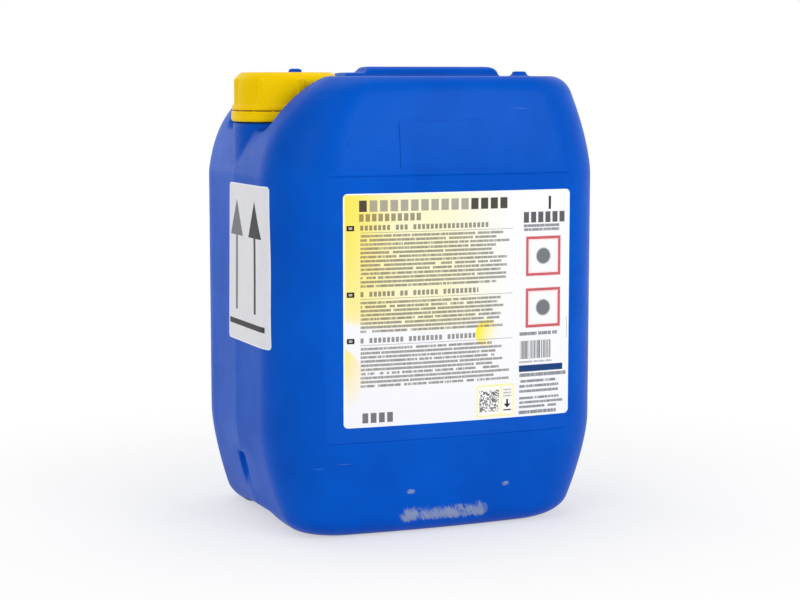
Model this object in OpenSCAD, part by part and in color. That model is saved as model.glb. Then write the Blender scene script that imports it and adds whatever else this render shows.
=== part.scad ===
// Stackable ten-litre plastic canister: a blown body with its carrying handle moulded in one,
// a ribbed screw cap with a liner, a tamper-evident ring and two stuck-on labels.
// Millimetres, +Z up. The origin is at the middle of the footprint, on the ground.
// The wide front faces -Y and the narrow end with the cap faces -X.

/* [Body] */
// Length of the body along its wide faces
body_l = 240; // [225:1:290]
// Depth of the body between its wide faces, without their bulge
body_d = 192; // [180:1:240]
// Height of the two cheeks on either side of the handle
body_h = 304.5; // [290:0.5:350]
// Thickness of the blown wall
wall = 1.6; // [1.4:0.1:2.4]
// Radius of the four upright corners
corner_r = 45; // [38:1:52]
// How far each wide face swells at its middle
bulge = 2.6; // [1.5:0.1:4]

/* [Foot] */
// Height at which the walls start to draw in towards the base
foot_h = 71; // [55:1:76]
// How far the narrow ends draw in at the base
foot_end_in = 18; // [10:1:22]
// How far the wide faces draw in at the base
foot_face_in = 11; // [6:1:16]
// How much tighter the corners next to the cap are at the base, and the others half as much
foot_tight = 19; // [8:1:22]
// Radius between the walls and the base
foot_r = 13; // [9:1:18]
// Width of the channel under the base, at the ground
channel_w = 100; // [86:1:110]
// Height of the channel under the base
channel_h = 9; // [7.5:0.5:14]
// Slant of each side of the channel, measured across
channel_slant = 22; // [12:1:28]

/* [Shoulder] */
// Height of the shoulder, from its start up to the cheek tops
shoulder_h = 66; // [55:1:75]
// How far the end away from the cap draws in over the shoulder
end_in = 16.5; // [8:0.5:20]
// How far each wide face draws in over the shoulder
face_in = 8; // [4:0.5:12]
// Height of the rounding round the cheek tops
edge_rise = 10; // [7:0.5:14]
// Width of that rounding at the end away from the cap
end_run = 7; // [4:0.5:12]
// Width of that rounding along the wide faces
face_run = 7; // [4:0.5:12]
// Steepness of the slope from the cap end up to the cheek tops
slope = 1.95; // [1.6:0.05:2.2]
// Height of the slope's start below the cheek tops
slope_drop = 20; // [16:0.5:26]
// Least radius of the two corners that tighten up the slope
least_r = 14; // [10:1:20]
// Softness of the bend where the slope starts
slope_bend = 29; // [22:1:36]

/* [Trough] */
// Width of the trough between the cheeks
trough_w = 92; // [84:1:104]
// Depth of the trough below the cheek tops, under the handle
trough_deep = 46; // [42:1:56]
// Length of the closed end block away from the cap
end_block = 36; // [30:1:48]
// Radius along the trough's floor
trough_r = 12; // [6:1:16]
// Radius along the cheeks' inner edges
cheek_r = 5; // [3:0.5:8]

/* [Handle] */
// Width of the handle across the can
handle_w = 25; // [20:1:30]
// Height of the handle's bar
bar_h = 24; // [18:1:28]
// How far the raised grip stands above the cheek tops
grip_rise = 6.5; // [3:0.5:7]
// How far the low spine next to the cap stands above the cheek tops
spine_rise = 2.4; // [0.5:0.1:3]
// Length of the low spine next to the cap
spine_l = 18; // [14:1:26]
// Length of the handle beyond the raised grip, at the end block
tail_l = 13; // [8:1:20]
// Thickness of each handle post, along the can
post_l = 19; // [15:1:26]
// Radius in the corners of the finger gap
gap_r = 10; // [6:1:12]
// Radius along the grip's upper edges
grip_r = 6; // [3:0.5:8]

/* [Stacking lugs] */
// Length of a lug
lug_l = 9; // [7:1:16]
// Width of a lug
lug_w = 8; // [6:1:16]
// Height of a lug above the cheek tops
lug_h = 3; // [2:0.2:5]
// Height of the rear lug above the front one
lug_step = 2; // [0:0.2:3]
// Distance of the front lug from the middle, along the can
lug_x = 63; // [40:1:66]
// Distance of the rear lug from the middle, along the can
lug_rear_x = 53; // [40:1:56]
// Distance of each lug from the middle, across the can
lug_y = 64; // [60:1:68]

/* [Neck] */
// Distance from the end wall to the neck's axis
neck_in = 38; // [36:1:44]
// Height of the platform under the neck, below the cheek tops
platform_drop = 36; // [33:1:38]
// Height of the neck's rim above the platform
neck_h = 35; // [32:0.5:38]
// Diameter of the neck's bore
bore_d = 55; // [44:1:57]
// Outer diameter of the neck, at the root of its thread
neck_d = 61; // [59:0.5:62]
// Height of the thread's crest above the neck
thread_h = 1.8; // [1:0.1:2]
// How far the neck's bead stands out
bead_out = 3; // [2.4:0.1:3.6]
// Height of the neck's bead
bead_h = 3; // [2:0.5:4]
// Height of the bead's underside above the platform
bead_z = 6.6; // [6:0.1:8]

/* [Cap] */
// Diameter of the cap over its ribs
cap_d = 73; // [72:0.5:76]
// Height of the cap
cap_h = 25.6; // [24:0.2:28]
// Thickness of the cap's top
cap_top_t = 2.2; // [1.6:0.1:3]
// Radius along the cap's upper edge
cap_edge_r = 6; // [4:0.5:7]
// Number of grip ribs round the cap
rib_count = 8; // [6:1:12]
// Width of a grip rib
rib_w = 4; // [3:0.5:6]
// How far a grip rib stands out
rib_out = 0.9; // [0.5:0.1:1.4]
// Thickness of the sealing liner
liner_t = 1.4; // [1:0.1:2]

/* [Tamper ring] */
// Diameter of the ring
ring_d = 76; // [75:0.2:78]
// Height of the ring
ring_h = 7; // [6:0.5:8]
// Gap between the ring and the cap
ring_gap = 0.6; // [0.4:0.1:1]
// Width of the round seat that rises under the ring
seat_d = 73; // [68:0.5:76]
// Gap between that seat and the ring
seat_drop = 0.6; // [0.4:0.1:1.5]
// Thickness of the ring's wall
ring_t = 3; // [2:0.1:3.2]

/* [Labels] */
// Thickness of a label's film
film_t = 0.2; // [0.1:0.05:0.4]
// Width of the main label
main_w = 164; // [120:1:166]
// Height of the main label
main_h = 153; // [110:1:156]
// Height of the main label's lower edge
main_z = 76; // [72:0.5:78]
// Distance of the main label's middle from the body's middle
main_x = 5; // [-5:1:6]
// Width of the small label, round the corner it lies on
side_w = 78; // [50:1:84]
// Height of the small label
side_h = 107; // [80:1:112]
// Height of the small label's lower edge
side_z = 126; // [100:1:128]
// Distance from the body's middle to the small label's rear edge
side_y = 10; // [-10:1:20]
// Radius of the labels' corners
label_r = 3; // [1:0.5:5]

/* [Label panel] */
// Depth of the panel that is let into the front
panel_deep = 1.5; // [0.8:0.1:2]
// Height of the panel that shows below the main label
panel_below = 10; // [6:1:14]
// Height of the panel that shows above the main label
panel_above = 11; // [6:1:14]
// Radius of the panel's corners
panel_r = 8; // [4:1:14]

/* [Dimple] */
// Width of the dimple low on the narrow end
dimple_w = 14; // [8:1:20]
// Height of the dimple
dimple_h = 30; // [20:1:34]
// Depth of the dimple
dimple_deep = 2.5; // [1:0.5:3]
// Height of the dimple's lower end
dimple_z = 17; // [14:1:24]

/* [Fits] */
// Clearance between the thread's crest and the cap's bore
thread_gap = 0.4; // [0.2:0.05:0.6]
// Running clearance between the ring and the neck's bead
run_gap = 0.3; // [0.2:0.05:0.5]
// Room between the cap and the handle's spine
cap_room = 1.5; // [0.8:0.1:3]
// Gap that a piece keeps from the face it rests on
seat_gap = 0.05; // [0.02:0.01:0.1]

/* [Hidden] */

HDPE = [0.0, 0.30, 0.72];
YELLOW = [0.97, 0.82, 0.05];
FOAM = [0.93, 0.93, 0.90];
PAPER = [0.95, 0.95, 0.96];
FINE = 64;
OVER = 1;

// Points on each corner and each swelling face of a horizontal section
corner_steps = 9;
face_steps = 8;
// Powers that shape the foot and the shoulder, and how fast the slope tightens its corners
inset_power = 1.55;
slope_tighten = 0.37;

shoulder_z = body_h - shoulder_h;
slope_z = body_h - slope_drop;
trough_z = body_h - trough_deep;
platform_z = body_h - platform_drop;
trough_end = body_l / 2 - end_block;

neck_x = -body_l / 2 + neck_in;
rim_z = platform_z + neck_h;
liner_z = rim_z + seat_gap;
cap_top_z = liner_z + liner_t + seat_gap + cap_top_t;
cap_z = cap_top_z - cap_h;
cap_body_d = cap_d - 2 * rib_out;
cap_bore_r = neck_d / 2 + thread_h + thread_gap;
ring_z = cap_z - ring_gap - ring_h;

spine_x = neck_x + cap_d / 2 + cap_room;
grip_x = spine_x + spine_l;
grip_end = trough_end - tail_l;
spine_z = body_h + spine_rise;
grip_z = body_h + grip_rise;
gap_x = spine_x + post_l;
gap_end = grip_end - post_l / 2;
gap_top = grip_z - bar_h;

// Circle that the swelling front follows between its corners
face_half = body_l / 2 - corner_r;
face_arc_r = (face_half * face_half + bulge * bulge) / (2 * bulge);
face_y = body_d / 2 + bulge;
panel_arc_r = face_arc_r - panel_deep;
panel_z = main_z - panel_below;
panel_h = panel_below + main_h + panel_above;
arc_centre_y = face_arc_r - face_y;

// Share of the foot's full inset that the outer surface has at height z, and the base's rounding
function foot_share(z) = z >= foot_h ? 0 : pow(1 - z / foot_h, inset_power);
function base_inset(z) = z >= foot_r ? 0 : foot_r - sqrt(foot_r * foot_r - pow(foot_r - z, 2));
// Inset over the shoulder, in is what it reaches at the cheek tops
function crown_inset(z, in) = z <= shoulder_z ? 0 : in * pow((z - shoulder_z) / shoulder_h, inset_power);
// Inset of the elliptical rounding round the cheek tops
function edge_inset(z, run) = let (rise = max(0, z - body_h + edge_rise) / edge_rise)
    run * (1 - sqrt(max(0, 1 - rise * rise)));
// Zero below d = 0 and equal to d above it, with a soft bend
function soft_step(d) = (d + sqrt(d * d + slope_bend * slope_bend)) / 2;
function slope_inset(z) = z <= shoulder_z ? 0 :
    slope * (soft_step(z - slope_z) - soft_step(shoulder_z - slope_z));

function corner_points(cx, cy, r, start) =
    [for (i = [0 : corner_steps]) let (a = start + 90 * i / corner_steps) [cx + r * cos(a), cy + r * sin(a)]];
function face_points(x_from, x_to, y, side) =
    [for (i = [1 : face_steps - 1]) let (t = i / face_steps)
        [x_from + (x_to - x_from) * t, side * (y + 4 * bulge * t * (1 - t))]];

// Horizontal section of the can at outer height z, drawn in by w
function section(z, w) = let (
    low = base_inset(z) + w,
    foot = foot_share(z),
    x0 = -body_l / 2 + low + foot_end_in * foot + slope_inset(z) + edge_inset(z, face_run) / 2,
    x1 = body_l / 2 - low - foot_end_in * foot - crown_inset(z, end_in) - edge_inset(z, end_run),
    y = body_d / 2 - low - foot_face_in * foot - crown_inset(z, face_in) - edge_inset(z, face_run),
    r = corner_r - foot_tight * foot / 2 - w,
    slope_r = max(least_r, corner_r - foot_tight * foot - slope_tighten * slope_inset(z)) - w)
    concat(
        corner_points(x1 - r, -y + r, r, -90),
        corner_points(x1 - r, y - r, r, 0),
        face_points(x1 - r, x0 + slope_r, y, 1),
        corner_points(x0 + slope_r, y - slope_r, slope_r, 90),
        corner_points(x0 + slope_r, -y + slope_r, slope_r, 180),
        face_points(x0 + slope_r, x1 - r, y, -1));

// Heights of the sections, close together where the surface bends
levels = concat(
    [for (i = [0 : 6]) foot_r * (1 - cos(90 * i / 6))],
    [for (i = [1 : 5]) foot_r + (foot_h - foot_r) * i / 5],
    [for (i = [0 : 8]) shoulder_z + (shoulder_h - edge_rise) * i / 8],
    [for (i = [1 : 5]) body_h - edge_rise * (1 - sin(90 * i / 5))]);

// The can without its handle, trough and channel, every face drawn in by w
module drum(w) {
    sections = [for (z = levels)
        let (height = w + z * (body_h - 2 * w) / body_h)
            [for (p = section(z, w)) [p.x, p.y, height]]];
    per = len(sections[0]);
    last = len(levels) - 1;
    points = [for (ring = sections) each ring];
    sides = [for (k = [0 : last - 1], i = [0 : per - 1])
        let (a = k * per + i, b = k * per + (i + 1) % per)
            each [[a, a + per, b + per], [a, b + per, b]]];
    bottom = [for (i = [0 : per - 1]) i];
    top = [for (i = [0 : per - 1]) last * per + per - 1 - i];
    polyhedron(points, concat([bottom, top], sides), convexity = 6);
}

// Rectangle with round corners, its lower left corner at the origin
module round_rect(w, h, r) {
    translate([r, 0]) square([w - 2 * r, h]);
    translate([0, r]) square([w, h - 2 * r]);
    for (x = [r, w - r], y = [r, h - r]) translate([x, y]) circle(r, $fn = FINE);
}

// Stands a drawing in X and Y up, so that it lies in X and Z, and gives it a depth about Y = 0
module upright(depth) {
    rotate([90, 0, 0]) linear_extrude(depth, center = true) children();
}

// Stands a drawing up so that it lies in Y and Z, and runs it from x_from to x_to
module along(x_from, x_to) {
    translate([x_from, 0, 0]) rotate([90, 0, 90]) linear_extrude(x_to - x_from) children();
}

// Space between the cheeks, grown by w on every side
module trough_profile(floor_z, w) {
    half = trough_w / 2 + w;
    r = trough_r + w;
    translate([-half, floor_z - w]) round_rect(2 * half, body_h, r);
    translate([0, body_h - cheek_r - w]) difference() {
        translate([-half - cheek_r, 0]) square([2 * (half + cheek_r), 2 * cheek_r]);
        for (s = [-1, 1]) translate([s * (half + cheek_r), 0]) circle(cheek_r, $fn = FINE);
    }
}

module trough(w) {
    along(-body_l, trough_end + w) trough_profile(platform_z, w);
    along(spine_x - w, trough_end + w) trough_profile(trough_z, w);
}

// Channel under the base that takes the handle of the can below
module channel(w) {
    half = channel_w / 2 + w;
    along(-body_l, body_l) polygon([
        [-half, -OVER], [half, -OVER], [half, 0],
        [half - channel_slant, channel_h + w], [-half + channel_slant, channel_h + w], [-half, 0]]);
}

// Handle from the spine at the cap to the end block, drawn in by w
module handle(w) {
    sunk = trough_z - 3 * wall;
    post_x = spine_x + w;
    deep = 2 * w;
    intersection() {
        upright(handle_w - 2 * w) difference() {
            union() {
                translate([post_x, sunk]) square([trough_end + 2 * wall - post_x, body_h - sunk - w]);
                translate([post_x, sunk]) square([grip_end - post_x, spine_z - sunk - w]);
                translate([grip_x + w, trough_z])
                    round_rect(grip_end - grip_x - deep, grip_z - trough_z - w, grip_r - w);
            }
            translate([gap_x - w, trough_z - w])
                round_rect(gap_end - gap_x + deep, gap_top - trough_z + deep, gap_r + w);
        }
        along(-body_l, body_l) translate([-handle_w / 2 + w, 0])
            round_rect(handle_w - deep, grip_z - w, grip_r - w);
    }
}

// Round seat under the ring, which runs down into the slope, drawn in by w
module seat(w) {
    translate([neck_x, 0, shoulder_z])
        cylinder(h = ring_z - seat_drop - w - shoulder_z, d = seat_d - 2 * w, $fn = FINE);
}

// Whole outer form of the can, drawn in by w
module can_form(w) {
    difference() {
        drum(w);
        trough(w);
        channel(w);
        dimple(w);
    }
    handle(w);
    seat(w);
}

module dimple(w) {
    wall_x = -body_l / 2 + foot_end_in * foot_share(dimple_z + dimple_h / 2);
    translate([wall_x + dimple_deep + w, -dimple_w / 2 - w, dimple_z - w])
        mirror([1, 0, 0]) cube([2 * foot_end_in, dimple_w + 2 * w, dimple_h + 2 * w]);
}

// One stacking lug: a low round-ended bump on a cheek's flat top
module lug(x, y, h) {
    translate([x - lug_l / 2, y - lug_w / 2, body_h - wall]) linear_extrude(wall + h)
        round_rect(lug_l, lug_w, lug_l / 3);
}

// Recess for the main label, with a floor that swells like the face round it, grown by w
module panel_cut(w) {
    intersection() {
        translate([-body_l / 2 - w, 0, panel_z - w]) upright(2 * body_d)
            round_rect(body_l + 2 * w, panel_h + 2 * w, panel_r + w);
        difference() {
            translate([-body_l, -body_d, 0]) cube([2 * body_l, body_d - trough_w / 2, body_h]);
            translate([0, arc_centre_y, 0]) cylinder(h = body_h, r = panel_arc_r - w, $fn = 4 * FINE);
        }
    }
}

module neck() {
    translate([neck_x, 0, 0]) {
        translate([0, 0, platform_z - wall]) cylinder(h = neck_h + wall, d = neck_d, $fn = FINE);
        translate([0, 0, platform_z + bead_z]) cylinder(h = bead_h, d = neck_d + 2 * bead_out, $fn = FINE);
    }
}

module can_body() {
    color(HDPE) difference() {
        union() {
            difference() {
                can_form(0);
                panel_cut(0);
            }
            neck();
            lug(-lug_rear_x, lug_y, lug_h + lug_step);
            lug(lug_x, -lug_y, lug_h);
        }
        difference() {
            can_form(wall);
            panel_cut(wall);
        }
        translate([neck_x, 0, platform_z - 3 * wall]) cylinder(h = neck_h + 4 * wall, d = bore_d, $fn = FINE);
    }
}

// Cap: the skirt and top turned about the neck's axis, with ribs on the skirt
module screw_cap() {
    r = cap_body_d / 2;
    color(YELLOW) translate([neck_x, 0, 0]) difference() {
        union() {
            translate([0, 0, cap_z]) rotate_extrude($fn = FINE) {
                square([r, cap_h - cap_edge_r]);
                square([r - cap_edge_r, cap_h]);
                translate([r - cap_edge_r, cap_h - cap_edge_r]) intersection() {
                    circle(cap_edge_r, $fn = FINE);
                    square(cap_edge_r);
                }
            }
            for (i = [0 : rib_count - 1]) rotate(360 * i / rib_count)
                translate([0, -rib_w / 2, cap_z]) cube([cap_d / 2, rib_w, cap_h - cap_edge_r]);
        }
        translate([0, 0, cap_z - OVER])
            cylinder(h = cap_h - cap_top_t + OVER, r = cap_bore_r, $fn = FINE);
    }
}

// Liner disc that the cap presses on the neck's rim
module cap_liner() {
    color(FOAM) translate([neck_x, 0, liner_z])
        cylinder(h = liner_t, r = cap_bore_r - run_gap, $fn = FINE);
}

// Ring left on the neck when the cap comes off, with a lip that catches under the bead
module tamper_ring() {
    bead_r = neck_d / 2 + bead_out;
    lip_h = platform_z + bead_z - run_gap - ring_z;
    color(YELLOW) translate([neck_x, 0, ring_z]) rotate_extrude($fn = FINE) {
        translate([ring_d / 2 - ring_t, 0]) square([ring_t, ring_h]);
        translate([bead_r - bead_out / 2, 0]) square([ring_d / 2 - bead_r + bead_out / 2, lip_h]);
    }
}

// Main label, on the floor of the front panel
module main_label() {
    color(PAPER) intersection() {
        translate([main_x - main_w / 2, 0, main_z]) upright(2 * body_d) round_rect(main_w, main_h, label_r);
        difference() {
            translate([0, arc_centre_y, 0])
                cylinder(h = body_h, r = panel_arc_r + seat_gap + film_t, $fn = 4 * FINE);
            translate([0, arc_centre_y, -OVER])
                cylinder(h = body_h + 2 * OVER, r = panel_arc_r + seat_gap, $fn = 4 * FINE);
            translate([-body_l, 0, -OVER]) cube([2 * body_l, 2 * body_d, body_h + 2 * OVER]);
        }
    }
}

// Plan of the body between foot and shoulder on the cap end and its front corner, grown by w
module end_plan(w) {
    x0 = -body_l / 2;
    y0 = -body_d / 2;
    translate([x0 - w, y0 + corner_r]) square([corner_r + w, body_d - 2 * corner_r]);
    translate([x0 + corner_r, y0 + corner_r]) circle(corner_r + w, $fn = 2 * FINE);
}

// Small label on the narrow end, bent a little round the front corner
module arrow_label() {
    color(PAPER) intersection() {
        linear_extrude(body_h) difference() {
            end_plan(film_t);
            end_plan(0);
        }
        translate([0, side_y - side_w, side_z])
            along(-body_l, -body_l / 2 + corner_r / 2) round_rect(side_w, side_h, label_r);
    }
}

can_body();
screw_cap();
cap_liner();
tamper_ring();
main_label();
arrow_label();
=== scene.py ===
"""Visual model of a stackable ten-litre plastic canister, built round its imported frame."""

import logging
import math
from collections.abc import Callable, Sequence
from dataclasses import dataclass
from enum import Enum

import bmesh
import bpy
from mathutils import Matrix, Vector
from mathutils.bvhtree import BVHTree


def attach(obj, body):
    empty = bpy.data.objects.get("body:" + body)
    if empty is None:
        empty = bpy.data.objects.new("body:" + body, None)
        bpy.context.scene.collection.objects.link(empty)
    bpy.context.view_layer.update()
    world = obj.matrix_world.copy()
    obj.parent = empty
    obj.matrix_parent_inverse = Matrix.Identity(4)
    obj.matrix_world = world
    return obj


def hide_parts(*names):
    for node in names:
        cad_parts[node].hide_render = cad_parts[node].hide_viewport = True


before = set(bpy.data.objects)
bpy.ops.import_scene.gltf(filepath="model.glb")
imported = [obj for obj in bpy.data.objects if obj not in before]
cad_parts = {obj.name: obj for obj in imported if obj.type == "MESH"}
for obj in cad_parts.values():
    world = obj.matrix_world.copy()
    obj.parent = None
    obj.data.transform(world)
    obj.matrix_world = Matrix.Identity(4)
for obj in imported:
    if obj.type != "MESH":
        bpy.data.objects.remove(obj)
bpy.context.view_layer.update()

LOG = logging.getLogger("canister")
MM = 0.001
TURN = 2 * math.pi
MERGE = 1e-4  # points closer than this, in millimetres, become one
OVER = 20.0  # how far a cutting form runs past what it cuts, in millimetres

Colour = tuple[int, int, int]
Triple = tuple[float, float, float]
Corner = Triple  # two coordinates and the radius of a rounding


def linear(colour: Colour) -> tuple[float, float, float, float]:
    """Turn a colour of 0 to 255 as seen on a screen into the linear one that shaders use.

    Args:
        colour: Red, green and blue.

    Returns:
        Linear red, green, blue and an alpha of one.
    """
    parts = [c / 255 for c in colour]
    red, green, blue = (p / 12.92 if p <= 0.04045 else ((p + 0.055) / 1.055) ** 2.4 for p in parts)
    return red, green, blue, 1.0


class Body(Enum):
    """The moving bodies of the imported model."""

    CAN = "can"
    LINER = "liner"
    CAP = "cap"


class Slot(Enum):
    """Names of the material slots."""

    BLUE = "blue_plastic"
    YELLOW = "yellow_plastic"
    FOAM = "liner_foam"
    FILM = "label_film"
    PAPER = "label_paper"


class Plane(Enum):
    """The plane that a profile is drawn in; its prism runs along the axis that is left."""

    XY = Matrix(((1, 0, 0), (0, 1, 0), (0, 0, 1)))
    XZ = Matrix(((1, 0, 0), (0, 0, 1), (0, 1, 0)))
    YZ = Matrix(((0, 0, 1), (1, 0, 0), (0, 1, 0)))


class Solid:
    """A closed form in millimetres that is cut, joined and softened."""

    def __init__(self, shape: bmesh.types.BMesh, name: str = "solid") -> None:
        """Keep a bmesh as a closed form, with its faces turned outwards.

        Args:
            shape: The closed bmesh, which is freed.
            name: The name of the object that holds it.
        """
        bmesh.ops.recalc_face_normals(shape, faces=shape.faces[:])
        mesh = bpy.data.meshes.new(name)
        shape.to_mesh(mesh)
        shape.free()
        self.obj = bpy.data.objects.new(name, mesh)
        bpy.context.scene.collection.objects.link(self.obj)

    def _apply(self) -> None:
        """Make what the modifiers give the object's own mesh."""
        graph = bpy.context.evaluated_depsgraph_get()
        mesh = bpy.data.meshes.new_from_object(self.obj.evaluated_get(graph))
        self.obj.modifiers.clear()
        old = self.obj.data
        self.obj.data = mesh
        bpy.data.meshes.remove(old)

    def _combine(self, operation: str, others: Sequence["Solid"]) -> "Solid":
        """Combine this form with others, which are used up.

        Args:
            operation: The Boolean modifier's operation.
            others: The other forms.

        Returns:
            This form.
        """
        for other in others:
            tool = self.obj.modifiers.new("tool", "BOOLEAN")
            tool.operation = operation
            tool.solver = "MANIFOLD"
            tool.object = other.obj
            self._apply()
            mesh = other.obj.data
            bpy.data.objects.remove(other.obj)
            bpy.data.meshes.remove(mesh)
        return self

    def cut(self, *others: "Solid") -> "Solid":
        """Take other forms away."""
        return self._combine("DIFFERENCE", others)

    def join(self, *others: "Solid") -> "Solid":
        """Add other forms."""
        return self._combine("UNION", others)

    def keep(self, *others: "Solid") -> "Solid":
        """Keep what lies inside the other forms too."""
        return self._combine("INTERSECT", others)

    def move(self, x: float = 0.0, y: float = 0.0, z: float = 0.0, turn: float = 0.0) -> "Solid":
        """Turn the form about Z, then shift it.

        Args:
            x: Shift along X.
            y: Shift along Y.
            z: Shift along Z.
            turn: Angle in radians.

        Returns:
            This form.
        """
        self.obj.data.transform(Matrix.Translation((x, y, z)) @ Matrix.Rotation(turn, 4, "Z"))
        return self

    def soften(self, voxel: float, passes: int) -> "Solid":
        """Rebuild the surface from small cells and smooth it, which rounds every edge.

        Args:
            voxel: Size of a cell.
            passes: How often the surface is smoothed.

        Returns:
            This form.
        """
        cells = self.obj.modifiers.new("cells", "REMESH")
        cells.mode = "VOXEL"
        cells.voxel_size = voxel
        smooth = self.obj.modifiers.new("smooth", "SMOOTH")
        smooth.factor = 0.5
        smooth.iterations = passes
        self._apply()
        return self

    def emboss(self, height: Callable[[Vector, Vector], float]) -> "Solid":
        """Shift each point along its normal.

        Args:
            height: Gives the shift for a point and its normal.

        Returns:
            This form.
        """
        shape = bmesh.new()
        shape.from_mesh(self.obj.data)
        shape.normal_update()
        shifts = [(v, v.normal * height(v.co, v.normal)) for v in shape.verts]
        for vert, shift in shifts:
            vert.co += shift
        shape.to_mesh(self.obj.data)
        shape.free()
        return self

    def thin_out(self, triangles: int) -> "Solid":
        """Merge faces where the surface is nearly flat.

        Args:
            triangles: About how many triangles stay.

        Returns:
            This form.
        """
        now = sum(len(p.vertices) - 2 for p in self.obj.data.polygons)
        fewer = self.obj.modifiers.new("fewer", "DECIMATE")
        fewer.ratio = min(1.0, triangles / now)
        self._apply()
        return self

    def tree(self) -> BVHTree:
        """Give a search tree of the surface, in millimetres."""
        shape = bmesh.new()
        shape.from_mesh(self.obj.data)
        found = BVHTree.FromBMesh(shape)
        shape.free()
        return found

    def piece(
        self, name: str, body: Body, slot: Slot, finish: bpy.types.Material, nodes: Sequence[str],
        crease: float = 38.0,
    ) -> bpy.types.Object:
        """Finish the form as a piece of the object, in metres.

        Args:
            name: The piece's name.
            body: The body that it rides on.
            slot: The material slot; it is not used.
            finish: Its material.
            nodes: The CAD nodes that it stands for.
            crease: Edges sharper than this angle in degrees stay sharp.

        Returns:
            The piece.
        """
        mesh = self.obj.data
        mesh.transform(Matrix.Scale(MM, 4))
        mesh.shade_smooth()
        mesh.set_sharp_from_angle(angle=math.radians(crease))
        mesh.materials.clear()
        mesh.materials.append(finish)
        self.obj.name = mesh.name = name
        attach(self.obj, body.value)
        if nodes:
            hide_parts(*nodes)
        count = sum(len(p.vertices) - 2 for p in mesh.polygons)
        LOG.info("%s: %d triangles, rides on %s", name, count, body.value)
        return self.obj


def round_off(
    shape: bmesh.types.BMesh, verts: Sequence[bmesh.types.BMVert], radius: float, segments: int
) -> None:
    """Round corners of a flat outline."""
    bmesh.ops.bevel(
        shape, geom=verts, offset=radius, segments=segments, profile=0.5, affect="VERTICES", material=-1
    )


def prism(corners: Sequence[Corner], plane: Plane, start: float, end: float, segments: int = 10) -> Solid:
    """Extrude a drawn profile whose corners may be rounded.

    Args:
        corners: Two coordinates and a radius for each corner, in order.
        plane: The plane that the profile is drawn in.
        start: Where the prism starts, along the axis that is left.
        end: Where it ends.
        segments: Faces of each rounding.

    Returns:
        The closed prism.
    """
    shape = bmesh.new()
    verts = [shape.verts.new((a, b, start)) for a, b, _ in corners]
    shape.faces.new(verts)
    for radius in sorted({r for _, _, r in corners if r > 0}):
        round_off(shape, [v for v, (_, _, r) in zip(verts, corners) if r == radius], radius, segments)
    grown = bmesh.ops.extrude_face_region(shape, geom=shape.faces[:])
    moved = [g for g in grown["geom"] if isinstance(g, bmesh.types.BMVert)]
    bmesh.ops.translate(shape, verts=moved, vec=(0, 0, end - start))
    bmesh.ops.transform(shape, verts=shape.verts[:], matrix=plane.value.to_4x4())
    return Solid(shape)


def plate(low: tuple[float, float], high: tuple[float, float], radius: float) -> list[Corner]:
    """Give the corners of a rectangle, all rounded alike.

    Args:
        low: Its lowest corner.
        high: Its highest corner.
        radius: Radius of its corners.

    Returns:
        The corners for prism.
    """
    (x0, y0), (x1, y1) = low, high
    return [(x0, y0, radius), (x1, y0, radius), (x1, y1, radius), (x0, y1, radius)]


def sheet_of(rows: Sequence[Sequence[Vector]], around: bool) -> bmesh.types.BMesh:
    """Lay a grid through rows of points.

    Args:
        rows: Rows of as many points each.
        around: True if each row closes on itself.

    Returns:
        The open sheet, or the open tube.
    """
    across = len(rows[0]) - (0 if around else 1)
    up = len(rows) - 1
    shape = bmesh.new()
    bmesh.ops.create_grid(shape, x_segments=across, y_segments=up, size=0.5)
    for vert in shape.verts:
        i = round((vert.co.x + 0.5) * across)
        k = round((vert.co.y + 0.5) * up)
        vert.co = rows[k][i % len(rows[0])]
    if around:
        bmesh.ops.remove_doubles(shape, verts=shape.verts[:], dist=MERGE)
    return shape


def loft(rows: Sequence[Sequence[Vector]]) -> Solid:
    """Close a tube through rings of points at both ends.

    Args:
        rows: The rings.

    Returns:
        The closed form.
    """
    shape = sheet_of(rows, True)
    bmesh.ops.holes_fill(shape, edges=[e for e in shape.edges if e.is_boundary], sides=0)
    return Solid(shape)


def lathe(corners: Sequence[Corner], steps: int = 128) -> Solid:
    """Turn a drawn profile about Z.

    Args:
        corners: Radius, height and rounding of each corner of the closed profile.
        steps: Faces round the axis.

    Returns:
        The closed turned form.
    """
    shape = bmesh.new()
    verts = [shape.verts.new((r, 0, z)) for r, z, _ in corners]
    shape.faces.new(verts)
    for radius in sorted({c for _, _, c in corners if c > 0}):
        round_off(shape, [v for v, (_, _, c) in zip(verts, corners) if c == radius], radius, 6)
    bmesh.ops.delete(shape, geom=shape.faces[:], context="FACES_ONLY")
    axis = [e for e in shape.edges if all(v.co.x < 1e-6 for v in e.verts)]
    bmesh.ops.delete(shape, geom=axis, context="EDGES")
    bmesh.ops.spin(
        shape, geom=shape.verts[:] + shape.edges[:], cent=(0, 0, 0), axis=(0, 0, 1), dvec=(0, 0, 0),
        angle=TURN, steps=steps, use_merge=True, use_duplicate=False,
    )
    bmesh.ops.remove_doubles(shape, verts=shape.verts[:], dist=MERGE)
    return Solid(shape)


@dataclass(frozen=True)
class Thread:
    """A helical ridge about Z that fades out at both ends."""

    root: float
    crest: float
    base_width: float
    crest_width: float
    start_z: float
    turns: float
    pitch: float = 6.0

    def solid(self) -> Solid:
        """Build the ridge."""
        steps = round(self.turns * 72)
        sunk = self.root + (self.root - self.crest) * 0.25
        rows = []
        for k in range(steps + 1):
            share = k / steps
            turn = TURN * self.turns * share
            fade = min(1.0, 10 * share, 10 * (1 - share))
            rise = self.root + (self.crest - self.root) * max(0.02, math.sin(fade * math.pi / 2))
            middle = self.start_z + self.pitch * self.turns * share
            profile = [
                (sunk, -self.base_width / 2),
                (rise, -self.crest_width / 2),
                (rise, self.crest_width / 2),
                (sunk, self.base_width / 2),
            ]
            rows.append([Vector((r * math.cos(turn), r * math.sin(turn), middle + z)) for r, z in profile])
        return loft(rows)


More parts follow.
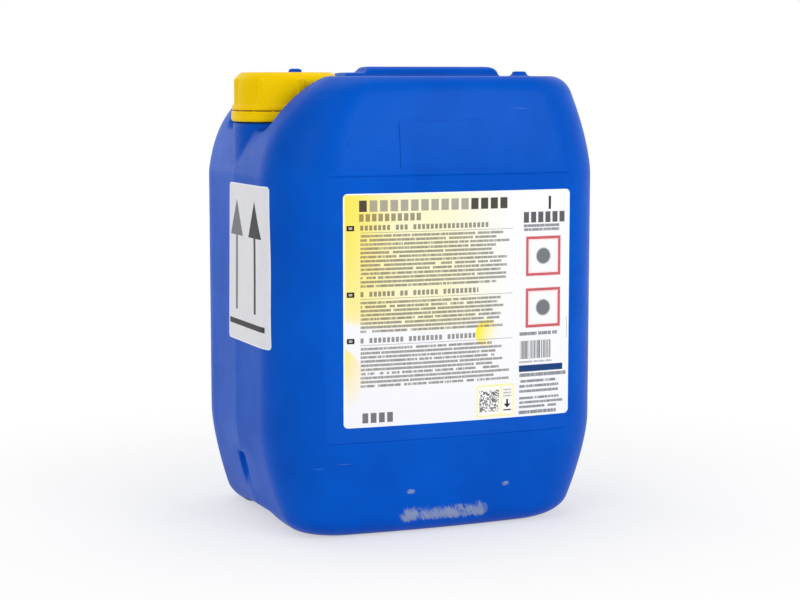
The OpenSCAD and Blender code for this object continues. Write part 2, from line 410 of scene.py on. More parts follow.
@dataclass(frozen=True)
class CanBody:
    """The blown body: walls, foot, shoulder, cheeks, trough, handle, panel and neck."""

    length: float = 240.0
    depth: float = 192.0
    height: float = 304.5
    wall: float = 1.6
    corner_r: float = 45.0
    bulge: float = 2.6
    foot_h: float = 71.0
    foot_end_in: float = 18.0
    foot_face_in: float = 11.0
    foot_tight: float = 19.0
    foot_r: float = 13.0
    channel_w: float = 100.0
    channel_h: float = 9.0
    channel_slant: float = 22.0
    shoulder_h: float = 66.0
    end_in: float = 16.5
    face_in: float = 8.0
    edge_rise: float = 10.0
    end_run: float = 7.0
    face_run: float = 7.0
    slope: float = 1.95
    slope_drop: float = 20.0
    slope_bend: float = 29.0
    least_r: float = 14.0
    inset_power: float = 1.55
    slope_tighten: float = 0.37
    waist_in: float = 0.7
    far_in: float = 0.7
    far_waist_in: float = 2.4
    trough_w: float = 92.0
    trough_deep: float = 46.0
    end_block: float = 36.0
    trough_r: float = 12.0
    cheek_r: float = 5.0
    platform_drop: float = 36.0
    handle_w: float = 25.0
    bar_h: float = 24.0
    grip_rise: float = 6.5
    spine_rise: float = 2.4
    spine_l: float = 17.2
    tail_l: float = 12.0
    post_l: float = 19.0
    gap_r: float = 10.0
    grip_r: float = 6.0
    neck_in: float = 38.0
    neck_h: float = 35.0
    neck_r: float = 30.5
    bore_r: float = 27.5
    seat_r: float = 36.5
    seat_z: float = 273.4
    bead_out: float = 3.0
    bead_h: float = 3.0
    bead_z: float = 6.6
    thread_h: float = 1.8
    panel_deep: float = 1.5
    panel_z: float = 66.0
    panel_h: float = 174.0
    dimple_deep: float = 2.5
    dimple_w: float = 14.0
    dimple_low: float = 17.0
    dimple_high: float = 47.0

    @property
    def shoulder_z(self) -> float:
        """Height where the shoulder starts."""
        return self.height - self.shoulder_h

    @property
    def platform_z(self) -> float:
        """Height of the platform that carries the neck."""
        return self.height - self.platform_drop

    @property
    def trough_z(self) -> float:
        """Height of the trough's floor under the handle."""
        return self.height - self.trough_deep

    @property
    def trough_end(self) -> float:
        """X where the trough ends at the end block."""
        return self.length / 2 - self.end_block

    @property
    def neck_x(self) -> float:
        """X of the neck's axis."""
        return -self.length / 2 + self.neck_in

    @property
    def spine_x(self) -> float:
        """X where the handle starts, beside the cap."""
        return self.neck_x + 38.0

    @property
    def rim_z(self) -> float:
        """Height of the neck's rim."""
        return self.platform_z + self.neck_h

    def foot_share(self, z: float) -> float:
        """Share of the foot's inset at a height."""
        return 0.0 if z >= self.foot_h else (1 - z / self.foot_h) ** self.inset_power

    def crown_inset(self, z: float, inset: float) -> float:
        """Inset over the shoulder at a height."""
        share = max(0.0, z - self.shoulder_z) / self.shoulder_h
        return inset * share ** self.inset_power

    def slope_inset(self, z: float) -> float:
        """Inset of the slope at the cap's end at a height."""
        if z <= self.shoulder_z:
            return 0.0

        def soft(d: float) -> float:
            """Zero below nought and d above it, with a soft bend."""
            return (d + math.hypot(d, self.slope_bend)) / 2

        slope_z = self.height - self.slope_drop
        return self.slope * (soft(z - slope_z) - soft(self.shoulder_z - slope_z))

    def section(self, z: float, inset: float, corner_steps: int, face_steps: int) -> list[Vector]:
        """Give the can's horizontal section.

        Args:
            z: Height on the outer form.
            inset: How far the section is drawn in.
            corner_steps: Faces of each corner.
            face_steps: Faces along each wide side.

        Returns:
            The section's points, all at height nought.
        """
        base = 0.0 if z >= self.foot_r else self.foot_r - math.sqrt(self.foot_r ** 2 - (self.foot_r - z) ** 2)
        low = base + inset
        foot = self.foot_share(z)
        rise = max(0.0, z - self.height + self.edge_rise) / self.edge_rise
        edge = 1 - math.sqrt(max(0.0, 1 - rise * rise))
        waist = smooth_step(z, 60, 125) * (1 - smooth_step(z, 125, 240))
        slope_in = self.slope_inset(z)
        in0 = self.foot_end_in * foot + slope_in + self.face_run * edge / 2 + self.waist_in * waist
        in1 = (self.foot_end_in + 2) * foot + self.crown_inset(z, self.end_in) + self.end_run * edge
        in1 += self.far_in + self.far_waist_in * waist
        x0 = -self.length / 2 + low + in0
        x1 = self.length / 2 - low - in1
        in_y = self.foot_face_in * foot + self.crown_inset(z, self.face_in) + self.face_run * edge
        y = self.depth / 2 - low - in_y
        r = self.corner_r - self.foot_tight * foot / 2 - inset
        slope_r = self.corner_r - self.foot_tight * foot - self.slope_tighten * slope_in
        slope_r = max(self.least_r, slope_r) - inset
        points: list[Vector] = []

        def corner(cx: float, cy: float, radius: float, start: float) -> None:
            """Add a corner's points."""
            for i in range(corner_steps + 1):
                a = math.radians(start + 90 * i / corner_steps)
                points.append(Vector((cx + radius * math.cos(a), cy + radius * math.sin(a), 0)))

        def face(x_from: float, x_to: float, side: int) -> None:
            """Add a swelling wide side's points."""
            for i in range(1, face_steps):
                t = i / face_steps
                swell = 4 * self.bulge * t * (1 - t)
                points.append(Vector((x_from + (x_to - x_from) * t, side * (y + swell), 0)))

        corner(x1 - r, -y + r, r, -90)
        corner(x1 - r, y - r, r, 0)
        face(x1 - r, x0 + slope_r, 1)
        corner(x0 + slope_r, y - slope_r, slope_r, 90)
        corner(x0 + slope_r, -y + slope_r, slope_r, 180)
        face(x0 + slope_r, x1 - r, -1)
        return points

    def drum(self, inset: float, fine: int) -> Solid:
        """Build the can without its handle, trough and channel.

        Args:
            inset: How far every face is drawn in.
            fine: How many times finer than the coarsest the sections lie.

        Returns:
            The closed form.
        """
        quarter = [math.radians(90 * i / (4 * fine)) for i in range(4 * fine + 1)]
        heights = [self.foot_r * (1 - math.cos(a)) for a in quarter]
        foot = self.foot_h - self.foot_r
        heights += [self.foot_r + foot * i / (5 * fine) for i in range(1, 5 * fine + 1)]
        crown = self.shoulder_h - self.edge_rise
        heights += [self.shoulder_z + crown * i / (8 * fine) for i in range(8 * fine + 1)]
        heights += [self.height - self.edge_rise * (1 - math.sin(a)) for a in quarter[1:]]
        rows = []
        for z in heights:
            level = Vector((0, 0, inset + z * (self.height - 2 * inset) / self.height))
            rows.append([p + level for p in self.section(z, inset, 6 * fine, 6 * fine)])
        return loft(rows)

    def trough(self, floor: float, start: float, inset: float) -> Solid:
        """Build the space between the cheeks.

        Args:
            floor: Height of its floor.
            start: X where it starts.
            inset: How far it is grown on every side.

        Returns:
            The space as a closed form.
        """
        half = self.trough_w / 2 + inset
        low = floor - inset
        lip = self.height - inset
        out = half + 3 * self.cheek_r
        top = self.height + OVER
        r = self.trough_r + inset
        return prism([
            (-half, low, r), (half, low, r), (half, lip, self.cheek_r), (out, lip, 0),
            (out, top, 0), (-out, top, 0), (-out, lip, 0), (-half, lip, self.cheek_r),
        ], Plane.YZ, start, self.trough_end + inset)

    def handle(self, inset: float) -> Solid:
        """Build the handle with its two posts.

        Args:
            inset: How far every face is drawn in.

        Returns:
            The closed form.
        """
        sunk = self.trough_z - 3 * self.wall
        x0 = self.spine_x + inset
        grip_x = self.spine_x + self.spine_l
        grip_end = self.trough_end - self.tail_l
        grip_z = self.height + self.grip_rise - inset
        spine_z = self.height + self.spine_rise - inset
        tail_z = self.height - inset
        back = self.trough_end + 2 * self.wall
        r = self.grip_r - inset
        side = prism([
            (x0, sunk, 0), (back, sunk, 0), (back, tail_z, 0), (grip_end - inset, tail_z, 2),
            (grip_end - inset, grip_z, r), (grip_x + inset, grip_z, r - 2.5),
            (grip_x + inset, spine_z, 1.5), (x0, spine_z, 3),
        ], Plane.XZ, -self.handle_w, self.handle_w)
        gap_x = self.spine_x + self.post_l - inset
        gap_end = grip_end - self.post_l / 2 + inset
        gap_top = self.height + self.grip_rise - self.bar_h + inset
        opening = plate((gap_x, self.trough_z - inset), (gap_end, gap_top), self.gap_r + inset)
        gap = prism(opening, Plane.XZ, -50, 50)
        half = self.handle_w / 2 - inset
        bar = prism(plate((-half, -20), (half, grip_z), r), Plane.YZ, -self.length, self.length)
        return side.cut(gap).keep(bar)

    def panel(self, inset: float) -> Solid:
        """Build the shallow recess for the main label, with rounded ledges.

        Args:
            inset: How far it is grown on every side.

        Returns:
            The space as a closed form.
        """
        half = self.length / 2 - self.corner_r
        arc_r = (half * half + self.bulge ** 2) / (2 * self.bulge)
        floor = -(self.depth / 2 + self.bulge) + self.panel_deep + inset
        low, high = self.panel_z - inset, self.panel_z + self.panel_h + inset
        ledge = [(0, -0.5), (0.12, -0.2), (0.9, 0.25), (1.25, 0.5), (1.45, 0.9), (1.7, 1.8), (40, 1.8)]
        side = [(out, low - grow) for out, grow in ledge]
        side += [(out, high + grow) for out, grow in reversed(ledge)]
        rows = []
        for i in range(61):
            x = self.length * (i / 60 - 0.5)
            y = floor + arc_r - math.sqrt(arc_r ** 2 - x * x)
            rows.append([Vector((x, y - out, z)) for out, z in side])
        return loft(rows)

    def channel(self, inset: float) -> Solid:
        """Build the channel under the base, grown by inset."""
        half = self.channel_w / 2 + inset
        inner = half - self.channel_slant
        top = self.channel_h + inset
        return prism([
            (-half, -5, 0), (half, -5, 0), (half, 0, 0),
            (inner, top, 3), (-inner, top, 3), (-half, 0, 0),
        ], Plane.YZ, -self.length, self.length)

    def dimple(self, inset: float) -> Solid:
        """Build the dimple low on the cap's end, grown by inset."""
        middle_z = (self.dimple_low + self.dimple_high) / 2
        wall_x = -self.length / 2 + self.foot_end_in * self.foot_share(middle_z) + self.dimple_deep + inset
        half, low, high = self.dimple_w / 2 + inset, self.dimple_low - inset, self.dimple_high + inset
        return prism(plate((-half, low), (half, high), 3 + inset), Plane.YZ, wall_x - 40, wall_x)

    def form(self, inset: float, fine: int) -> Solid:
        """Build the whole blown form without its neck.

        Args:
            inset: How far every face is drawn in.
            fine: How fine the sections lie.

        Returns:
            The closed form.
        """
        return self.drum(inset, fine).cut(
            self.trough(self.platform_z, -self.length, inset),
            self.trough(self.trough_z, self.spine_x - inset, inset),
            self.channel(inset),
            self.dimple(inset),
        ).join(self.handle(inset), self.seat(inset))

    def seat(self, inset: float) -> Solid:
        """Build the round seat under the ring, drawn in by inset, which runs down into the slope."""
        r, top = self.seat_r - inset, self.seat_z - inset
        low = self.shoulder_z
        return lathe([(0, low, 0), (r, low, 0), (r, top, 0), (0, top, 0)]).move(x=self.neck_x)

    def lug(self, x: float, y: float, rise: float) -> Solid:
        """Build a domed stacking lug that stands on a cheek."""
        outline = plate((x - 4.9, y - 4.1), (x + 4.9, y + 4.1), 3.8)
        return prism(outline, Plane.XY, self.height - self.wall, self.height + rise)

    def pads(self) -> list[Solid]:
        """Build the low raised pad on the front shoulder and the small round one beside it."""
        pad = self.drum(-0.4, 6).keep(prism(plate((-38, 244), (37.5, 275.5), 2), Plane.XZ, -120, -60))
        dot = self.drum(-0.35, 6).keep(prism(plate((-73.2, 259.2), (-68.2, 264.2), 2.4), Plane.XZ, -120, -60))
        return [pad, dot]

    def seam(self, point: Vector, normal: Vector) -> float:
        """Give the height of the mould's parting line at a point of the surface.

        Args:
            point: The point.
            normal: The surface's normal there.

        Returns:
            How far the surface stands out.
        """
        if abs(point.y) > 1.6 or abs(normal.y) > 0.5 or (abs(point.x) < 84 and point.z < 300):
            return 0.0
        return 0.15 * (1 - smooth_step(abs(point.y), 0.2, 1.5))

    def neck(self) -> Solid:
        """Build the neck with its bead and thread, still without its bore."""
        z0, r = self.platform_z, self.neck_r
        bead = r + self.bead_out
        low, high = z0 + self.bead_z, z0 + self.bead_z + self.bead_h
        turned = lathe([
            (0, z0 + 3.5, 0), (r, z0 + 3.5, 0), (r, low, 0),
            (bead, low, 0.5), (bead, high, 1.2), (r, high, 0), (r, self.rim_z, 1.0), (0, self.rim_z, 0),
        ])
        thread = Thread(r, r + self.thread_h, 3.0, 1.3, z0 + 16, 2.2)
        return turned.join(thread.solid()).move(x=self.neck_x)

    def bore(self) -> Solid:
        """Build the bore through the neck, with its rounded mouth."""
        r, low, top = self.bore_r, self.platform_z - 3 * self.wall, self.rim_z
        return lathe([
            (0, low, 0), (r, low, 0), (r, top - 0.9, 0.6),
            (r + 1.0, top + 0.05, 0), (r + 1.0, top + 2, 0), (0, top + 2, 0),
        ]).move(x=self.neck_x)

    def build(self, finish: bpy.types.Material) -> BVHTree:
        """Build and dress the body.

        Args:
            finish: Its material.

        Returns:
            A search tree of its outer surface, in millimetres.
        """
        cell, passes = ((1.25, 5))
        outer = self.form(0.0, 6).join(self.lug(63, -64, 3.2), self.lug(-53, 64, 5.4))
        outer.soften(cell, passes).emboss(self.seam).thin_out(150_000)
        outer.join(*self.pads()).cut(self.panel(0.0))
        tree = outer.tree()
        cavity = self.form(self.wall, 2).cut(self.panel(self.wall)).join(self.bore())
        outer.join(self.neck()).cut(cavity)
        outer.piece("blown_body", Body.CAN, Slot.BLUE, finish, ["can_body"])
        return tree


def smooth_step(value: float, low: float, high: float) -> float:
    """Rise smoothly from nought at low to one at high."""
    t = min(1.0, max(0.0, (value - low) / (high - low)))
    return t * t * (3 - 2 * t)


@dataclass(frozen=True)
class Cap:
    """The screw cap with grip ribs, a collar and an inner thread."""

    axis_x: float = -82.0
    low: float = 281.6
    high: float = 307.2
    skirt_r: float = 35.6
    rib_r: float = 36.5
    collar_r: float = 37.3
    collar_h: float = 3.3
    edge_r: float = 8.0
    bore_r: float = 32.7
    top_t: float = 2.2
    ribs: int = 8

    def build(self, finish: bpy.types.Material) -> bpy.types.Object:
        """Build and dress the cap."""
        inside = self.high - self.top_t
        collar_z = self.low + self.collar_h
        body = lathe([
            (0, inside, 0), (self.bore_r, inside, 1.0), (self.bore_r, self.low + 1.2, 0),
            (self.bore_r + 0.6, self.low, 0), (self.collar_r, self.low, 0.7),
            (self.collar_r, collar_z, 1.0), (self.skirt_r + 0.2, collar_z + 0.5, 0),
            (self.skirt_r - 0.3, self.high, self.edge_r - 0.2), (28.4, self.high, 0),
            (27.6, self.high - 0.7, 0.3), (0, self.high - 0.7, 0),
        ], 160)
        for i in range(self.ribs):
            rib = prism(plate((-2.3, self.low + 1), (2.3, self.high - 4.2), 1.8), Plane.XZ, 30, self.rib_r)
            body.join(rib.move(turn=TURN * i / self.ribs - 0.05))
        body.join(Thread(self.bore_r, self.bore_r - 1.7, 2.6, 1.1, self.low + 5.9, 2.4).solid())
        body.soften(0.55, 3).thin_out(80_000)
        return body.move(x=self.axis_x).piece("grip_cap", Body.CAP, Slot.YELLOW, finish, ["screw_cap"])


@dataclass(frozen=True)
class Ring:
    """The tamper-evident ring, with the torn stubs of its bridges on top."""

    axis_x: float = -82.0
    low: float = 274.0
    high: float = 281.0
    outer_r: float = 37.8
    bore_r: float = 35.0
    lip_r: float = 32.0
    stubs: int = 16

    def build(self, finish: bpy.types.Material) -> bpy.types.Object:
        """Build and dress the ring."""
        ring = lathe([
            (self.lip_r, self.low, 0.2), (self.outer_r - 1.1, self.low, 0.5),
            (self.outer_r, self.low + 1.5, 0.6), (self.outer_r - 0.3, self.high, 0.6),
            (self.bore_r, self.high, 0.4),
            (self.bore_r, self.low + 0.8, 0), (self.lip_r, self.low + 0.8, 0.2),
        ], 160)
        for i in range(self.stubs):
            outline = plate((-0.7, self.high - 1), (0.7, self.high + 0.35), 0.2)
            stub = prism(outline, Plane.XZ, self.bore_r + 0.6, self.outer_r - 1.2, 2)
            ring.join(stub.move(turn=TURN * (i + 0.5) / self.stubs))
        return ring.move(x=self.axis_x).piece("sealing_ring", Body.CAN, Slot.YELLOW, finish, ["tamper_ring"])


@dataclass(frozen=True)
class Liner:
    """The sealing liner under the cap, with the ring that the rim has pressed into it."""

    axis_x: float = -82.0
    low: float = 303.55
    high: float = 304.95
    radius: float = 32.4

    def build(self, finish: bpy.types.Material) -> bpy.types.Object:
        """Build and dress the liner."""
        pressed = self.low + 0.12
        disc = lathe([
            (0, self.low, 0), (27.2, self.low, 0), (27.8, pressed, 0),
            (30.2, pressed, 0), (30.8, self.low, 0),
            (self.radius, self.low, 0.3), (self.radius, self.high, 0.3), (0, self.high, 0),
        ])
        return disc.move(x=self.axis_x).piece("seal_disc", Body.LINER, Slot.FOAM, finish, ["cap_liner"])


@dataclass(frozen=True)
class Label:
    """A label film that lies on the body, its print laid out in millimetres from its lower left corner."""

    name: str
    width: float
    height: float
    radius: float
    place: Callable[[float, float], tuple[Vector, Vector]]
    film: float = 0.2
    gap: float = 0.04
    cell: float = 3.0

    def build(self, tree: BVHTree, finish: bpy.types.Material, slot: Slot, node: str) -> bpy.types.Object:
        """Lay the film on the body.

        Args:
            tree: Search tree of the body's surface.
            finish: The label's material.
            slot: The material slot, handed on to piece.
            node: The CAD node that it stands for.

        Returns:
            The label.
        """
        shape = bmesh.new()
        corners = plate((0, 0), (self.width, self.height), self.radius)
        verts = [shape.verts.new((a, b, 0)) for a, b, _ in corners]
        shape.faces.new(verts)
        round_off(shape, verts, self.radius, 8)
        for axis, size in ((Vector((1, 0, 0)), self.width), (Vector((0, 1, 0)), self.height)):
            count = math.ceil(size / self.cell)
            for i in range(1, count):
                everything = shape.verts[:] + shape.edges[:] + shape.faces[:]
                place = axis * (size * i / count)
                bmesh.ops.bisect_plane(shape, geom=everything, plane_co=place, plane_no=axis, dist=1e-5)
        layer = shape.loops.layers.uv.new("print")
        for face in shape.faces:
            for loop in face.loops:
                loop[layer].uv = (loop.vert.co.x / 100, loop.vert.co.y / 100)
        grown = bmesh.ops.extrude_face_region(shape, geom=shape.faces[:])
        upper = {g for g in grown["geom"] if isinstance(g, bmesh.types.BMVert)}
        for vert in shape.verts:
            point, normal = self.place(vert.co.x, vert.co.y)
            hit = tree.ray_cast(point + 6 * normal, -normal)[0]
            seat = point if hit is None else hit
            vert.co = seat + normal * (self.gap + (self.film if vert in upper else 0.0))
        return Solid(shape).piece(self.name, Body.CAN, slot, finish, [node])


def on_panel(u: float, v: float) -> tuple[Vector, Vector]:
    """Give a point of the main label on the front panel, and the way out of the face."""
    left_x, low_z = -77, 76
    middle_y, arc_r = -97.1, 1083.0
    x = left_x + u
    y = middle_y + arc_r - math.sqrt(arc_r ** 2 - x * x)
    return Vector((x, y, low_z + v)), Vector((x / arc_r, -1, 0)).normalized()


def on_end(u: float, v: float) -> tuple[Vector, Vector]:
    """Give a point of the small label on the narrow end and round its front corner, and the way out."""
    wide, tall, low_z, rear_y, end_x = 78.4, 107, 126, 10, -120
    corner_r, flat_end = 45.0, 61.0
    side, up = u / wide, v / tall
    u += (1 - side) * (4.5 * up - 3.2) - side * (0.7 + 0.9 * up + 0.35 * math.sin(9 * up))
    if u <= flat_end:
        return Vector((end_x, rear_y - u, low_z + v)), Vector((-1, 0, 0))
    turn = (u - flat_end) / corner_r
    way = Vector((-math.cos(turn), -math.sin(turn), 0))
    return Vector((end_x + corner_r, rear_y - flat_end, low_z + v)) + way * corner_r, way


class Value:
    """A socket of a shader tree, with arithmetic that adds Math nodes."""

    def __init__(self, shader: "Nodes", socket: bpy.types.NodeSocket) -> None:
        """Wrap a socket of a shader."""
        self.shader = shader
        self.socket = socket

    def math(self, operation: str, *others: "Value | float") -> "Value":
        """Add a Math node with this value first.

        Args:
            operation: The node's operation.
            others: Its other inputs.

        Returns:
            What the node gives.
        """
        return self.shader.math(operation, self, *others)

    def __add__(self, other: "Value | float") -> "Value":
        """Add."""
        return self.math("ADD", other)

    __radd__ = __add__

    def __sub__(self, other: "Value | float") -> "Value":
        """Subtract."""
        return self.math("SUBTRACT", other)

    def __rsub__(self, other: float) -> "Value":
        """Subtract from a number."""
        return self.shader.math("SUBTRACT", other, self)

    def __mul__(self, other: "Value | float") -> "Value":
        """Multiply."""
        return self.math("MULTIPLY", other)

    __rmul__ = __mul__

    def __truediv__(self, other: "Value | float") -> "Value":
        """Divide."""
        return self.math("DIVIDE", other)

    def floor(self) -> "Value":
        """Round down."""
        return self.math("FLOOR")

    def fraction(self) -> "Value":
        """Keep the part behind the point."""
        return self.math("FRACT")

    def over(self, other: "Value | float") -> "Value":
        """One where this is the larger."""
        return self.math("GREATER_THAN", other)

    def under(self, other: "Value | float") -> "Value":
        """One where this is the smaller."""
        return self.math("LESS_THAN", other)

    def near(self, middle: "Value | float", half: float) -> "Value":
        """One where this lies within half of the middle."""
        return self.math("COMPARE", middle, half)

    def larger(self, other: "Value | float") -> "Value":
        """The larger of two."""
        return self.math("MAXIMUM", other)

    def rise(self, low: float, high: float) -> "Value":
        """Rise smoothly from nought at low to one at high."""
        smooth = {"interpolation_type": "SMOOTHSTEP"}
        node = self.shader.node("ShaderNodeMapRange", smooth, {0: self, 1: low, 2: high})
        return Value(self.shader, node.outputs[0])


class Nodes:
    """A node tree that is built by calls."""

    def __init__(self, tree: bpy.types.NodeTree) -> None:
        """Keep the tree.

        Args:
            tree: The node tree of a material or a world.
        """
        self.tree = tree

    def node(
        self, kind: str, settings: dict[str, object] | None = None,
        inputs: dict[int | str, object] | None = None,
    ) -> bpy.types.Node:
        """Add a node.

        Args:
            kind: Its type.
            settings: Attributes that are set first.
            inputs: Values or links of its sockets.

        Returns:
            The node.
        """
        node = self.tree.nodes.new(kind)
        for key, value in (settings or {}).items():
            setattr(node, key, value)
        for key, value in (inputs or {}).items():
            self.feed(node, key, value)
        return node

    def feed(self, node: bpy.types.Node, key: int | str, value: object) -> None:
        """Link a value to a node's socket, or set it there."""
        if isinstance(value, Value):
            self.tree.links.new(value.socket, node.inputs[key])
        else:
            node.inputs[key].default_value = value

    def math(self, operation: str, *values: "Value | float") -> Value:
        """Add a Math node."""
        node = self.node("ShaderNodeMath", {"operation": operation}, dict(enumerate(values)))
        return Value(self, node.outputs[0])

    def point(self) -> Value:
        """Give the object's own coordinates."""
        return Value(self, self.node("ShaderNodeTexCoord").outputs["Object"])

    def scaled(self, vector: Value, scale: Triple, shift: Triple = (0, 0, 0)) -> Value:
        """Stretch a vector and shift it."""
        settings = {"operation": "MULTIPLY_ADD"}
        node = self.node("ShaderNodeVectorMath", settings, {0: vector, 1: scale, 2: shift})
        return Value(self, node.outputs[0])

    def parts(self, vector: Value) -> tuple[Value, Value, Value]:
        """Split a vector."""
        node = self.node("ShaderNodeSeparateXYZ", {}, {0: vector})
        return Value(self, node.outputs[0]), Value(self, node.outputs[1]), Value(self, node.outputs[2])

    def joined(self, x: Value | float, y: Value | float, z: Value | float = 0.0) -> Value:
        """Make a vector."""
        return Value(self, self.node("ShaderNodeCombineXYZ", {}, {0: x, 1: y, 2: z}).outputs[0])

    def noise(self, vector: Value, scale: float, detail: float = 2.0, roughness: float = 0.5) -> Value:
        """Give soft noise from nought to one."""
        inputs = {"Vector": vector, "Scale": scale, "Detail": detail, "Roughness": roughness}
        node = self.node("ShaderNodeTexNoise", {}, inputs)
        return Value(self, node.outputs[0])

    def chance(self, vector: Value) -> Value:
        """Give an even random number for each different vector."""
        node = self.node("ShaderNodeTexWhiteNoise", {"noise_dimensions": "3D"}, {"Vector": vector})
        return Value(self, node.outputs["Value"])

    def mix(self, factor: Value | float, first: "Value | Colour", second: "Value | Colour") -> Value:
        """Blend two colours."""
        ends = [c if isinstance(c, Value) else linear(c) for c in (first, second)]
        node = self.node("ShaderNodeMix", {"data_type": "RGBA"}, {0: factor, 6: ends[0], 7: ends[1]})
        return Value(self, node.outputs[2])

    def seen(self) -> Value:
        """One for rays from the camera or from a reflection, which show the white background."""
        path = self.node("ShaderNodeLightPath").outputs
        kinds = ("Camera", "Glossy", "Transmission")
        camera, glossy, through = (Value(self, path[f"Is {kind} Ray"]) for kind in kinds)
        return camera.larger(glossy).larger(through)


class Shader(Nodes):
    """A material's node tree with its Principled surface."""

    def __init__(self, name: str, constants: dict[str, float]) -> None:
        """Start a material.

        Args:
            name: Its name.
            constants: Values of the Principled shader's sockets.
        """
        self.material = bpy.data.materials.new(name)
        self.material.use_nodes = True
        super().__init__(self.material.node_tree)
        self.surface = next(n for n in self.tree.nodes if n.type == "BSDF_PRINCIPLED")
        for key, value in constants.items():
            self.surface.inputs[key].default_value = value

    def bump(self, height: Value, strength: float, distance: float) -> None:
        """Feed a height to the surface's normal."""
        node = self.node("ShaderNodeBump", {}, {"Height": height, "Strength": strength, "Distance": distance})
        self.feed(self.surface, "Normal", Value(self, node.outputs[0]))

    def paint(self, colour: Value, roughness: Value | float) -> None:
        """Feed the surface's colour and roughness."""
        self.feed(self.surface, "Base Color", colour)
        self.feed(self.surface, "Roughness", roughness)


@dataclass(frozen=True)
class MouldedPlastic:
    """Moulded polyethylene: faint mottling, a fine moulded grain and soft waves."""

    name: str
    main: Colour
    deep: Colour
    roughness: float
    grain: float
    waves: float
    gloss: float = 0.045
    scuffed: bool = False

    def material(self) -> bpy.types.Material:
        """Build the material."""
        shader = Shader(self.name, {"IOR": 1.5, "Specular IOR Level": self.gloss})
        point = shader.point()
        cloud = shader.noise(point, 14, 3)
        patch = shader.noise(point, 60, 2)
        colour = shader.mix((cloud * 0.7 + patch * 0.3).rise(0.35, 0.65), self.main, self.deep)
        rough = cloud * 0.10 + patch * 0.06 + (self.roughness - 0.08)
        if self.scuffed:
            marks = self.scuffs(shader, point)
            colour = shader.mix(marks * 0.75, colour, (158, 168, 180))
            rough = rough + marks * 0.2
        shader.paint(colour, rough)
        fine = shader.noise(point, 1500, 1)
        wide = shader.noise(point, 45, 1)
        shader.bump(fine * self.grain + wide * self.waves, 0.25, 0.0006)
        return shader.material

    def scuffs(self, shader: Shader, point: Value) -> Value:
        """Give a mask of rubs and scratches: along the front foot, at the edges and a few on the shoulder.

        Args:
            shader: The shader.
            point: The object's own coordinates.

        Returns:
            The mask.
        """
        x, y, z = shader.parts(point)
        front = y.under(-0.06)
        streaks = shader.noise(shader.joined(x * 800 + z * 420, z * 160), 1.0, 4, 0.75)
        blots = shader.noise(point, 130, 2)
        wide = x.rise(-0.044, -0.030) * (1 - x.rise(0.020, 0.040))
        wide = wide * z.rise(0.004, 0.012) * (1 - z.rise(0.014, 0.026))
        left = x.rise(-0.037, -0.030) * (1 - x.rise(-0.029, -0.022))
        right = x.rise(0.034, 0.040) * (1 - x.rise(0.041, 0.047))
        small = left.larger(right) * z.rise(0.027, 0.030) * (1 - z.rise(0.031, 0.034)) * 0.9
        spots = wide.larger(small)
        rubs = (spots * 0.6 + streaks * 0.85 + blots * 0.55).rise(1.06, 1.34) * spots.rise(0.02, 0.5)
        hairs = shader.noise(shader.scaled(point, (26, 26, 900), (3.1, 1.7, 0.4)), 1.0, 2, 0.6)
        thin = hairs.rise(0.735, 0.77) * shader.noise(point, 16, 1).rise(0.52, 0.60) * 0.3
        return (rubs * front + thin).math("MINIMUM", 1.0)


class Printed:
    """Helps to draw a label's print on its own UV map, in millimetres from the lower left corner."""

    def __init__(self, name: str, roughness: float, coat: float) -> None:
        """Start the label's material.

        Args:
            name: Its name.
            roughness: Its roughness.
            coat: Its clear coat.
        """
        gloss = {"IOR": 1.46, "Specular IOR Level": 0.12, "Coat Weight": coat, "Coat Roughness": 0.18}
        self.shader = Shader(name, gloss)
        self.roughness = roughness
        node = self.shader.node("ShaderNodeUVMap", {"uv_map": "print"})
        scaled = self.shader.scaled(Value(self.shader, node.outputs[0]), (100, 100, 1))
        self.u, self.v, _ = self.shader.parts(scaled)
        self.colour: Value | Colour = (255, 255, 255)

    def box(self, u0: float, u1: float, v0: float, v1: float) -> Value:
        """Give a rectangle's mask."""
        return self.u.near((u0 + u1) / 2, (u1 - u0) / 2) * self.v.near((v0 + v1) / 2, (v1 - v0) / 2)

    def ink(self, mask: Value | float, colour: "Colour | Value") -> None:
        """Lay a colour over the print so far."""
        self.colour = self.shader.mix(mask, self.colour, colour)

    def words(
        self, u0: float, u1: float, v0: float, v1: float, pitch: float, tall: float, ragged: float = 0.0
    ) -> Value:
        """Give rows of short dashes that stand in for lines of small print.

        Args:
            u0: Left edge.
            u1: Right edge.
            v0: Lower edge.
            v1: Upper edge.
            pitch: Distance of the rows.
            tall: Height of a row's dashes.
            ragged: How far a row may end short of the right edge.

        Returns:
            The mask.
        """
        shader = self.shader
        lines = (self.v - v0) / pitch
        row = lines.floor()
        within = lines.fraction().under(tall / pitch)
        spread = shader.noise(shader.joined(self.u * (0.42 / tall), row * 3.7 + v0), 1.0, 0)
        strokes = shader.noise(shader.joined(self.u * (2.6 / tall), row * 5.3 + u0), 1.0, 1)
        end = shader.chance(shader.joined(row, u0, v1)) * -ragged + u1
        field = self.box(u0, u1, v0, v1) * within * self.u.under(end)
        return field * spread.over(0.27) * strokes.rise(0.2, 0.52)

    def finish(self, grain: float) -> bpy.types.Material:
        """Feed the print to the surface and give the material."""
        shader = self.shader
        fine = shader.noise(shader.point(), 900, 2)
        shader.paint(self.colour, fine * 0.08 + (self.roughness - 0.04))
        shader.bump(shader.noise(shader.point(), 22, 1) * 0.6 + fine * grain, 0.18, 0.0005)
        return shader.material


